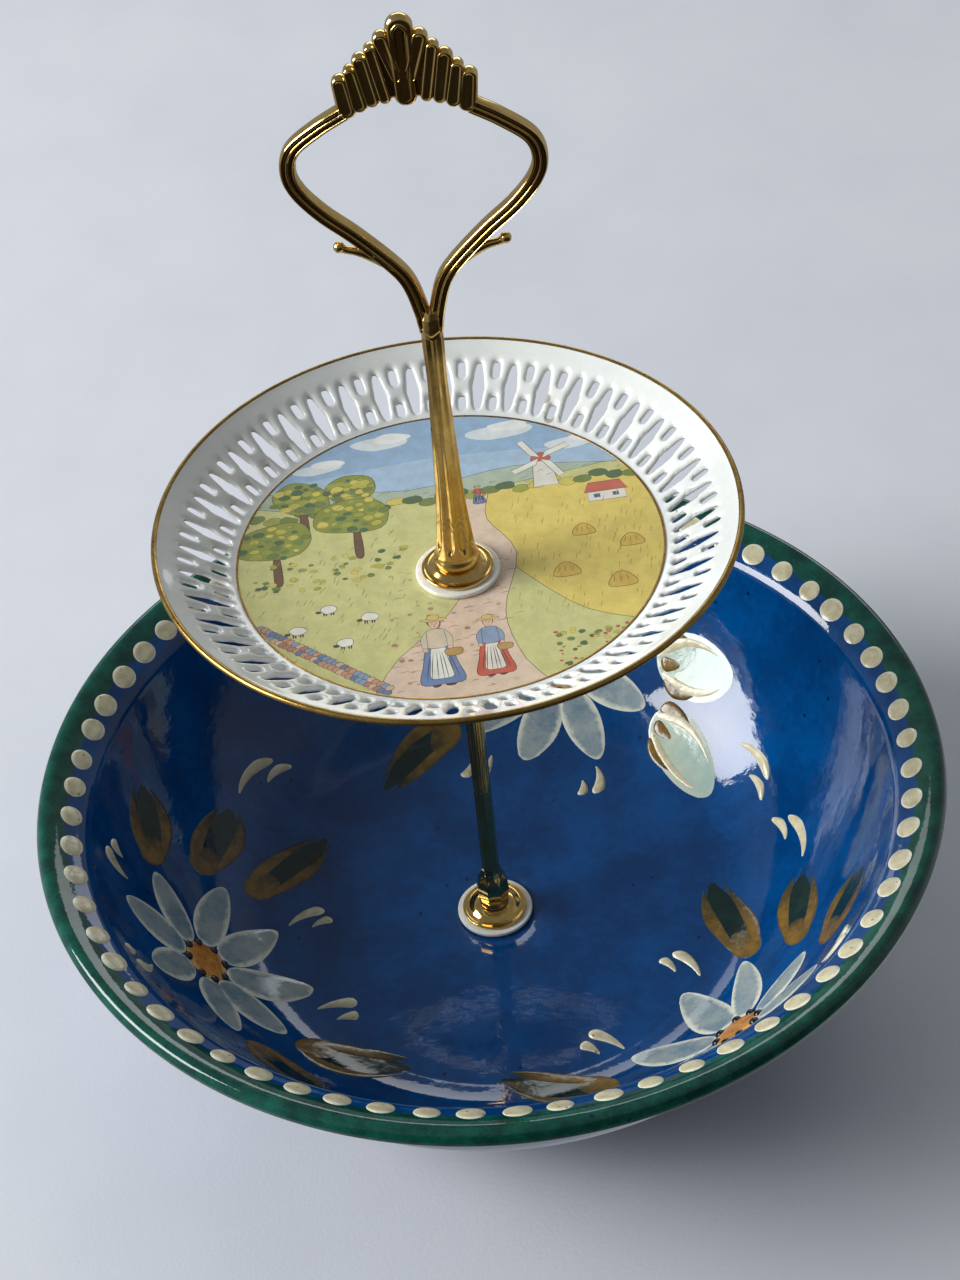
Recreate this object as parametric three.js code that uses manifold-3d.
// Two-tier cake stand: a deep glazed bowl, a small pierced plate above it, and a screwed centre rod with
// a crown handle. Millimetres, +Z up. The origin is the centre of the bowl's foot, on the table.
import * as THREE from 'three';
import { mergeVertices } from 'three/addons/utils/BufferGeometryUtils.js';
import Module from 'manifold-3d';

const wasm = await Module();
wasm.setup();

// ---------------------------------------------------------------- driving dimensions
const GAP = 0.3;

const BOWL = {
  rimRadius: 150,
  height: 91,
  innerFloorZ: 17,
  floorUndersideZ: 9.5,
  innerFloorRadius: 75,
  footOuter: 74,
  footInner: 67,
  holeRadius: 4.5,
  segments: 64,
};

// The rod goes through hand-drilled holes, so it stands a little off the middle of both dishes.
const ROD_X = -2.5;
const PLATE_OFFSET = { x: -1.2, y: 11.2 };
const HANDLE_TURN_DEG = -8;

const PLATE = {
  rimRadius: 91.25,
  pictureRadius: 68,
  floorTopZ: 175.4,
  floorThickness: 4,
  rimRise: 15,
  wallThickness: 2.8,
  footOuter: 55,
  footInner: 51,
  footDepth: 3,
  holeRadius: 3.6,
  units: 44,
};

const PAD = { radius: 13.05, hole: 3.4, thickness: 1.6 };
const DISH = { radius: 11.15, hole: 2.6, rimThickness: 0.8, domeRadius: 7, domeRise: 2.8 };

const BASE_SCREW = { radius: 2.5, headRadius: 5.2, headHeight: 3.2, topZ: 36 };
const BASE_WASHER = { radius: 9, hole: 2.9, thickness: 1.2 };

const STUD = { radius: 2, bore: 2.3, length: 44, buriedInLowerColumn: 15 };
const HANDLE_STUD = { length: 15, buriedInUpperColumn: 8 };

const LOWER_COLUMN = { topRadius: 3.35, tubeRadius: 3, bulbRadius: 5.85, bulbHeight: 17 };
const UPPER_COLUMN = { footRadius: 7.15, topRadius: 3.15, jointZ: 265.2 };

const HANDLE = { barWidth: 4.5, barDepth: 4.4, crownThickness: 4, backThickness: 2.4 };

// ---------------------------------------------------------------- heights of the stack
const bowlPadZ = BOWL.innerFloorZ + GAP;
const bowlDishZ = bowlPadZ + PAD.thickness + GAP;
const lowerColumnZ = bowlDishZ + DISH.domeRise + GAP;
const plateUndersideZ = PLATE.floorTopZ - PLATE.floorThickness;
const plateBottomPadZ = plateUndersideZ - GAP - PAD.thickness;
const supportDishZ = plateBottomPadZ - GAP - DISH.domeRise;
const lowerColumnTopZ = supportDishZ - GAP;
const plateTopPadZ = PLATE.floorTopZ + GAP;
const plateDishZ = plateTopPadZ + PAD.thickness + GAP;
const upperColumnZ = plateDishZ + DISH.domeRise + GAP;
const studZ = lowerColumnTopZ - STUD.buriedInLowerColumn;
const handleStudZ = UPPER_COLUMN.jointZ - HANDLE_STUD.buriedInUpperColumn;
const basePadZ = BOWL.floorUndersideZ - GAP - PAD.thickness;
const baseWasherZ = basePadZ - GAP - BASE_WASHER.thickness;
const baseHeadZ = baseWasherZ - GAP - BASE_SCREW.headHeight;

// ---------------------------------------------------------------- finishes
const blueGlaze = new THREE.MeshStandardMaterial({ color: 0x143c7d, roughness: 0.15, metalness: 0 });
const porcelain = new THREE.MeshStandardMaterial({ color: 0xe6e6df, roughness: 0.2, metalness: 0 });
const gold = new THREE.MeshStandardMaterial({ color: 0xc9a13c, roughness: 0.18, metalness: 1 });
const steel = new THREE.MeshStandardMaterial({ color: 0xb4b6b8, roughness: 0.35, metalness: 1 });
const nylon = new THREE.MeshStandardMaterial({ color: 0xf0eee6, roughness: 0.5, metalness: 0 });

// ---------------------------------------------------------------- solids
function toSolid(geometry) {
  const bare = geometry.index ? geometry.toNonIndexed() : geometry.clone();
  bare.deleteAttribute('normal');
  bare.deleteAttribute('uv');
  const merged = mergeVertices(bare, 1e-4);
  const corners = merged.index.array;
  const kept = [];
  for (let i = 0; i < corners.length; i += 3) {
    const [a, b, c] = [corners[i], corners[i + 1], corners[i + 2]];
    if (a !== b && b !== c && c !== a) kept.push(a, b, c);
  }
  const vertProperties = new Float32Array(merged.attributes.position.array);
  return new wasm.Manifold(new wasm.Mesh({ numProp: 3, vertProperties, triVerts: new Uint32Array(kept) }));
}

function toGeometry(solid) {
  const mesh = solid.getMesh();
  const geometry = new THREE.BufferGeometry();
  geometry.setAttribute('position', new THREE.BufferAttribute(new Float32Array(mesh.vertProperties), 3));
  geometry.setIndex(new THREE.BufferAttribute(new Uint32Array(mesh.triVerts), 1));
  geometry.computeVertexNormals();
  return geometry;
}

// A profile lists [radius, height] from the bottom, round the outside and back over the top.
function turned(profile, segments) {
  const points = profile.map(([radius, height]) => new THREE.Vector2(radius, height));
  return new THREE.LatheGeometry(points, segments).rotateX(Math.PI / 2);
}

function turnedRing(profile, segments) {
  return turned([...profile, profile[0]], segments);
}

function drill(radius, lowZ, highZ, segments, x = 0, y = 0) {
  const cylinder = new THREE.CylinderGeometry(radius, radius, highZ - lowZ, segments);
  return cylinder.rotateX(Math.PI / 2).translate(x, y, (lowZ + highZ) / 2);
}

function piece(name, geometry, material) {
  const mesh = new THREE.Mesh(geometry, material);
  mesh.name = name;
  return mesh;
}

// ---------------------------------------------------------------- bowl
function bowlGeometry() {
  const outside = [
    [0, BOWL.floorUndersideZ],
    [BOWL.footInner - 1.5, BOWL.floorUndersideZ],
    [BOWL.footInner, 0],
    [BOWL.footOuter, 0],
    [76, 8],
    [90, 14],
    [102, 22],
    [112, 31.5],
    [121, 43.5],
    [129, 57],
    [135.5, 70],
    [140, 79.5],
    [145.5, 83],
    [149, 85],
    [BOWL.rimRadius, 88],
  ];
  const inside = [
    [148.6, 90.4],
    [146.5, BOWL.height],
    [143, 89.6],
    [139, 87],
    [135.5, 85],
    [133.5, 82.6],
    [128.5, 70.5],
    [122, 58],
    [114, 45.5],
    [105, 34],
    [95, 25],
    [85, 19.2],
    [BOWL.innerFloorRadius, BOWL.innerFloorZ],
    [0, BOWL.innerFloorZ],
  ];
  const body = toSolid(turned([...outside, ...inside], BOWL.segments));
  const hole = toSolid(drill(BOWL.holeRadius, 0, BOWL.innerFloorZ + 5, 24, ROD_X, 0));
  return toGeometry(body.subtract(hole));
}

// ---------------------------------------------------------------- plate
// Everything here is measured from the middle of the plate, with its picture floor at height 0.
function plateBody() {
  const rim = PLATE.rimRadius;
  const rise = PLATE.rimRise;
  const under = -PLATE.floorThickness;
  const profile = [
    [0, under],
    [PLATE.footInner - 1, under],
    [PLATE.footInner, under - PLATE.footDepth],
    [PLATE.footOuter, under - PLATE.footDepth],
    [PLATE.footOuter + 2, under + 0.3],
    [PLATE.pictureRadius + 2.2, -1.6],
    [rim - 2.4, rise - PLATE.wallThickness - 0.2],
    [rim, rise - 1.1],
    [rim - 0.4, rise - 0.2],
    [rim - 1.2, rise],
    [rim - 2.2, rise - 0.7],
    [PLATE.pictureRadius + 1.4, 0.9],
    [PLATE.pictureRadius - 0.6, 0],
    [0, 0],
  ];
  return toSolid(turned(profile, PLATE.units * 2));
}

function slotTool(outline, angle) {
  const shape = new THREE.Shape(outline.map(([x, y]) => new THREE.Vector2(x, y)));
  const depth = PLATE.rimRise + PLATE.floorThickness;
  const tool = new THREE.ExtrudeGeometry(shape, { depth, bevelEnabled: false });
  return toSolid(tool.translate(0, 0, -PLATE.floorThickness).rotateZ(angle));
}

function plateGeometry() {
  const longSlot = [
    [69.8, -1.1],
    [76.7, -2],
    [83.4, -1.1],
    [83.4, 1.1],
    [76.7, 2],
    [69.8, 1.1],
  ];
  const rectangle = (low, high) => [
    [low, -1.15],
    [high, -1.15],
    [high, 1.15],
    [low, 1.15],
  ];
  const shortSlots = [rectangle(69.8, 73.6), rectangle(79.5, 83.9)];
  const unit = (2 * Math.PI) / PLATE.units;
  const facet = unit / 4;
  let plate = plateBody();
  for (let i = 0; i < PLATE.units; i += 1) {
    plate = plate.subtract(slotTool(longSlot, i * unit + facet));
    for (const slot of shortSlots) plate = plate.subtract(slotTool(slot, i * unit + 3 * facet));
  }
  const centreHole = drill(PLATE.holeRadius, -10, 10, 20, -PLATE_OFFSET.x, -PLATE_OFFSET.y);
  return toGeometry(plate.subtract(toSolid(centreHole)));
}

// ---------------------------------------------------------------- washers and screws
function flatWasher(radius, hole, thickness) {
  const profile = [
    [hole, 0],
    [radius - 0.3, 0],
    [radius, thickness / 2],
    [radius - 0.3, thickness],
    [hole, thickness],
  ];
  return turnedRing(profile, 32);
}

// Dished disc, seat down: a flat rim that rises to a collar round the rod.
function dishedDisc() {
  const { radius, hole, rimThickness, domeRadius, domeRise } = DISH;
  const profile = [
    [hole, domeRise - 1],
    [domeRadius - 2.6, domeRise - 1.2],
    [domeRadius + 1, 0],
    [radius, 0],
    [radius, rimThickness],
    [radius - 1.4, rimThickness + 0.1],
    [domeRadius, domeRise - 0.5],
    [domeRadius - 2, domeRise],
    [hole, domeRise],
  ];
  return turnedRing(profile, 32);
}

function baseScrew() {
  const { radius, headRadius, headHeight, topZ } = BASE_SCREW;
  const profile = [
    [0, 0],
    [headRadius - 1.2, 0],
    [headRadius, 1.2],
    [headRadius, headHeight],
    [radius, headHeight],
    [radius, topZ - baseHeadZ - 0.5],
    [radius - 0.5, topZ - baseHeadZ],
    [0, topZ - baseHeadZ],
  ];
  return turned(profile, 24);
}

function studGeometry(length) {
  const profile = [
    [0, 0],
    [STUD.radius - 0.4, 0],
    [STUD.radius, 0.4],
    [STUD.radius, length - 0.4],
    [STUD.radius - 0.4, length],
    [0, length],
  ];
  return turned(profile, 16);
}

// ---------------------------------------------------------------- columns
function lowerColumn() {
  const { topRadius, tubeRadius, bulbRadius, bulbHeight } = LOWER_COLUMN;
  const height = lowerColumnTopZ - lowerColumnZ;
  const screwBoreDepth = BASE_SCREW.topZ - lowerColumnZ + GAP;
  const screwBore = BASE_SCREW.radius + GAP;
  const studBoreFloor = height - STUD.buriedInLowerColumn - GAP;
  const profile = [
    [0, screwBoreDepth],
    [screwBore, screwBoreDepth],
    [screwBore, 0],
    [5, 0],
    [5.2, 1.2],
    [4.8, 2],
    [bulbRadius - 0.2, 5],
    [bulbRadius, 8],
    [bulbRadius - 0.9, 12],
    [tubeRadius + 0.5, bulbHeight - 1.5],
    [tubeRadius, bulbHeight],
    [tubeRadius, height * 0.6],
    [topRadius, height],
    [STUD.bore, height],
    [STUD.bore, studBoreFloor],
    [0, studBoreFloor],
  ];
  return turned(profile, 24);
}

function upperColumn() {
  const { footRadius, topRadius, jointZ } = UPPER_COLUMN;
  const height = jointZ - upperColumnZ;
  const studTop = studZ + STUD.length - upperColumnZ + GAP;
  const handleBoreFloor = height - HANDLE_STUD.buriedInUpperColumn - GAP;
  const profile = [
    [0, studTop],
    [STUD.bore, studTop],
    [STUD.bore, 0],
    [footRadius - 0.6, 0],
    [footRadius, 1],
    [footRadius, 2],
    [footRadius - 1.1, 4.5],
    [5.2, 14],
    [4.2, 28],
    [3.55, 50],
    [3, 66],
    [3, 72],
    [topRadius, 79],
    [topRadius, height],
    [STUD.bore, height],
    [STUD.bore, handleBoreFloor],
    [0, handleBoreFloor],
  ];
  return turned(profile, 24);
}

// ---------------------------------------------------------------- crown handle
// Drawn in the X-Z plane with its foot at height 0.
const BAR_POINTS = [
  [1.2, 2],
  [2.3, 9],
  [4.7, 18],
  [8.6, 24.3],
  [17.9, 34.4],
  [26.4, 42.4],
  [32.2, 50],
  [33.95, 56.5],
  [31.9, 63],
  [24.4, 69],
  [17, 73.4],
];

// Each leaf of the crown is a tapered bar with round ends: [x, z, radius] at its tip, then at its root.
const CROWN_LEAVES = [
  [[0, 97.2, 3.7], [0, 77, 1.9]],
  [[5.1, 94.9, 1.5], [1.5, 84, 1.2]],
  [[6.6, 91.6, 1.1], [4.2, 77.5, 1]],
  [[9.6, 88.4, 1.9], [6.9, 77, 1]],
  [[12.6, 83.6, 1.3], [10.4, 76.1, 1.1]],
  [[17.1, 81.7, 2.1], [16.4, 74.4, 1.9]],
];

const CROWN_BACK = [
  [0, 96],
  [5, 93.5],
  [9, 88],
  [12.6, 82.8],
  [16.6, 79.5],
  [16.4, 75],
  [10.4, 77],
  [0, 78],
];

const SPUR = [[14, 29.6, 1.6], [22.8, 31.2, 1.6]];

function handleBar(side) {
  const points = BAR_POINTS.map(([x, z]) => new THREE.Vector3(side * x, 0, z));
  const path = new THREE.CatmullRomCurve3(points, false, 'centripetal');
  const section = new THREE.Shape();
  section.absellipse(0, 0, HANDLE.barDepth / 2, HANDLE.barWidth / 2, 0, 2 * Math.PI);
  return toSolid(new THREE.ExtrudeGeometry(section, { steps: 34, curveSegments: 5, extrudePath: path }));
}

// The outline round two circles of different size, drawn from one to the other.
function leafShape([tipX, tipZ, tipRadius], [rootX, rootZ, rootRadius], side) {
  const reach = Math.hypot(rootX - tipX, rootZ - tipZ);
  const along = Math.atan2(rootZ - tipZ, side * (rootX - tipX));
  const spread = Math.acos((tipRadius - rootRadius) / reach);
  const outline = [];
  const steps = 6;
  for (let i = 0; i <= steps; i += 1) {
    const angle = along + spread + ((2 * Math.PI - 2 * spread) * i) / steps;
    outline.push(new THREE.Vector2(side * tipX + tipRadius * Math.cos(angle), tipZ + tipRadius * Math.sin(angle)));
  }
  for (let i = 0; i <= steps; i += 1) {
    const angle = along - spread + (2 * spread * i) / steps;
    outline.push(new THREE.Vector2(side * rootX + rootRadius * Math.cos(angle), rootZ + rootRadius * Math.sin(angle)));
  }
  return new THREE.Shape(outline);
}

// A flat shape drawn in X-Z, given a thickness centred on the handle's plane.
function slab(shape, thickness) {
  const geometry = new THREE.ExtrudeGeometry(shape, { depth: thickness, bevelEnabled: false });
  return toSolid(geometry.rotateX(Math.PI / 2).translate(0, thickness / 2, 0));
}

function crownBack() {
  const half = CROWN_BACK.map(([x, z]) => new THREE.Vector2(x, z));
  const other = CROWN_BACK.slice(1, -1).reverse().map(([x, z]) => new THREE.Vector2(-x, z));
  return slab(new THREE.Shape([...half, ...other]), HANDLE.backThickness);
}

function crownHandle() {
  const stemTop = 12;
  const stem = turned([[0, 0], [UPPER_COLUMN.topRadius, 0], [3.9, stemTop - 2], [2.5, stemTop], [0, stemTop]], 20);
  let handle = toSolid(stem).add(crownBack());
  for (const side of [-1, 1]) {
    handle = handle.add(handleBar(side)).add(slab(leafShape(SPUR[0], SPUR[1], side), HANDLE.crownThickness - 0.6));
    for (const [tip, root] of CROWN_LEAVES) {
      handle = handle.add(slab(leafShape(tip, root, side), HANDLE.crownThickness));
    }
  }
  const boreTop = HANDLE_STUD.length - HANDLE_STUD.buriedInUpperColumn + GAP;
  return toGeometry(handle.subtract(toSolid(drill(STUD.bore, -1, boreTop, 16))));
}

// ---------------------------------------------------------------- assembly
function rodStack() {
  const rod = new THREE.Group();
  rod.position.set(ROD_X, 0, 0);
  const add = (name, geometry, material, z) => {
    const mesh = piece(name, geometry, material);
    mesh.position.z = z;
    rod.add(mesh);
    return mesh;
  };
  add('base_screw', baseScrew(), steel, baseHeadZ);
  add('base_flat_washer', flatWasher(BASE_WASHER.radius, BASE_WASHER.hole, BASE_WASHER.thickness), steel, baseWasherZ);
  add('bowl_bottom_pad', flatWasher(PAD.radius, PAD.hole, PAD.thickness), nylon, basePadZ);
  add('bowl_top_pad', flatWasher(PAD.radius, PAD.hole, PAD.thickness), nylon, bowlPadZ);
  add('bowl_dished_disc', dishedDisc(), gold, bowlDishZ);
  add('lower_column', lowerColumn(), gold, lowerColumnZ);
  add('plate_stud', studGeometry(STUD.length), steel, studZ);
  const support = add('plate_support_disc', dishedDisc(), gold, supportDishZ + DISH.domeRise);
  support.rotation.x = Math.PI;
  add('plate_bottom_pad', flatWasher(PAD.radius, PAD.hole, PAD.thickness), nylon, plateBottomPadZ);
  const plate = add('plate', plateGeometry(), porcelain, PLATE.floorTopZ);
  plate.position.x = PLATE_OFFSET.x;
  plate.position.y = PLATE_OFFSET.y;
  add('plate_top_pad', flatWasher(PAD.radius, PAD.hole, PAD.thickness), nylon, plateTopPadZ);
  add('plate_dished_disc', dishedDisc(), gold, plateDishZ);
  add('upper_column', upperColumn(), gold, upperColumnZ);
  add('handle_stud', studGeometry(HANDLE_STUD.length), steel, handleStudZ);
  const handle = add('crown_handle', crownHandle(), gold, UPPER_COLUMN.jointZ + GAP);
  handle.rotation.z = THREE.MathUtils.degToRad(HANDLE_TURN_DEG);
  return rod;
}

const group = new THREE.Group();
group.add(piece('bowl', bowlGeometry(), blueGlaze));
group.add(rodStack());

export default group;
